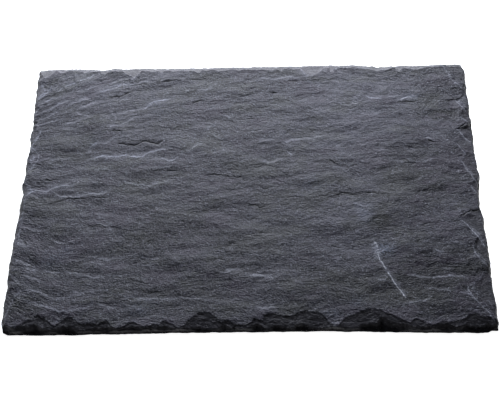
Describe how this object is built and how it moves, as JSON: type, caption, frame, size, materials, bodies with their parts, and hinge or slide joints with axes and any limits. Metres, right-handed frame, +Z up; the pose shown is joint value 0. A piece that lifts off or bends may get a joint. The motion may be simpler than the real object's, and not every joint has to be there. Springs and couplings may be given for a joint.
{
  "type": "slate slab",
  "caption": "Rectangular slab of riven dark blue-grey slate with hand-chipped edges, lying flat on its underside.",
  "frame": {"origin": "on the underside, under the middle of the slab", "axes": "+X along the front edge, which is the longer side, +Y towards the back edge, +Z up out of the riven face"},
  "size_m": [0.3023, 0.2021, 0.0065],
  "materials": {
    "slate": "riven, dull"
  },
  "bodies": {
    "root": {"slate_slab": "slate"}
  },
  "joints": []
}
